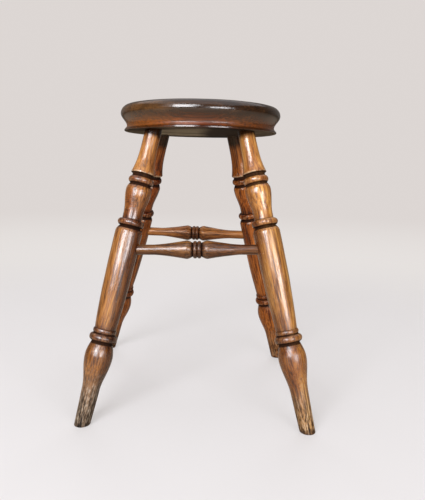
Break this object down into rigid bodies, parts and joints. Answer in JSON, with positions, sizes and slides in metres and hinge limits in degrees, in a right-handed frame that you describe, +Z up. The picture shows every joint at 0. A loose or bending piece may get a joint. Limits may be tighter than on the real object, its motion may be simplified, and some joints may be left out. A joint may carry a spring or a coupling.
{
  "type": "windsor stool",
  "caption": "Backless turned wooden stool: round seat with a moulded edge, splayed baluster legs through-tenoned and wedged into it, and parallel bead-and-swell stretchers.",
  "frame": {"origin": "on the floor, at the middle of the box around the four feet", "axes": "+Z up; +X to the right as seen from the front, along the stretchers; the front pair of legs is towards -Y"},
  "size_m": [0.3713, 0.3764, 0.467],
  "materials": {
    "seat_wood": "dark brown stain under a worn gloss polish",
    "leg_wood": "golden brown stain under gloss polish, darkest in the turned grooves",
    "stretcher_wood": "mid brown stain under gloss polish",
    "wedge_wood": "dark polished end grain"
  },
  "bodies": {
    "root": {"seat": "seat_wood", "leg_front_left": "leg_wood", "leg_front_right": "leg_wood", "leg_back_left": "leg_wood", "leg_back_right": "leg_wood", "stretcher_front": "stretcher_wood", "stretcher_back": "stretcher_wood", "wedge_front_left": "wedge_wood", "wedge_front_right": "wedge_wood", "wedge_back_left": "wedge_wood", "wedge_back_right": "wedge_wood"}
  },
  "joints": []
}
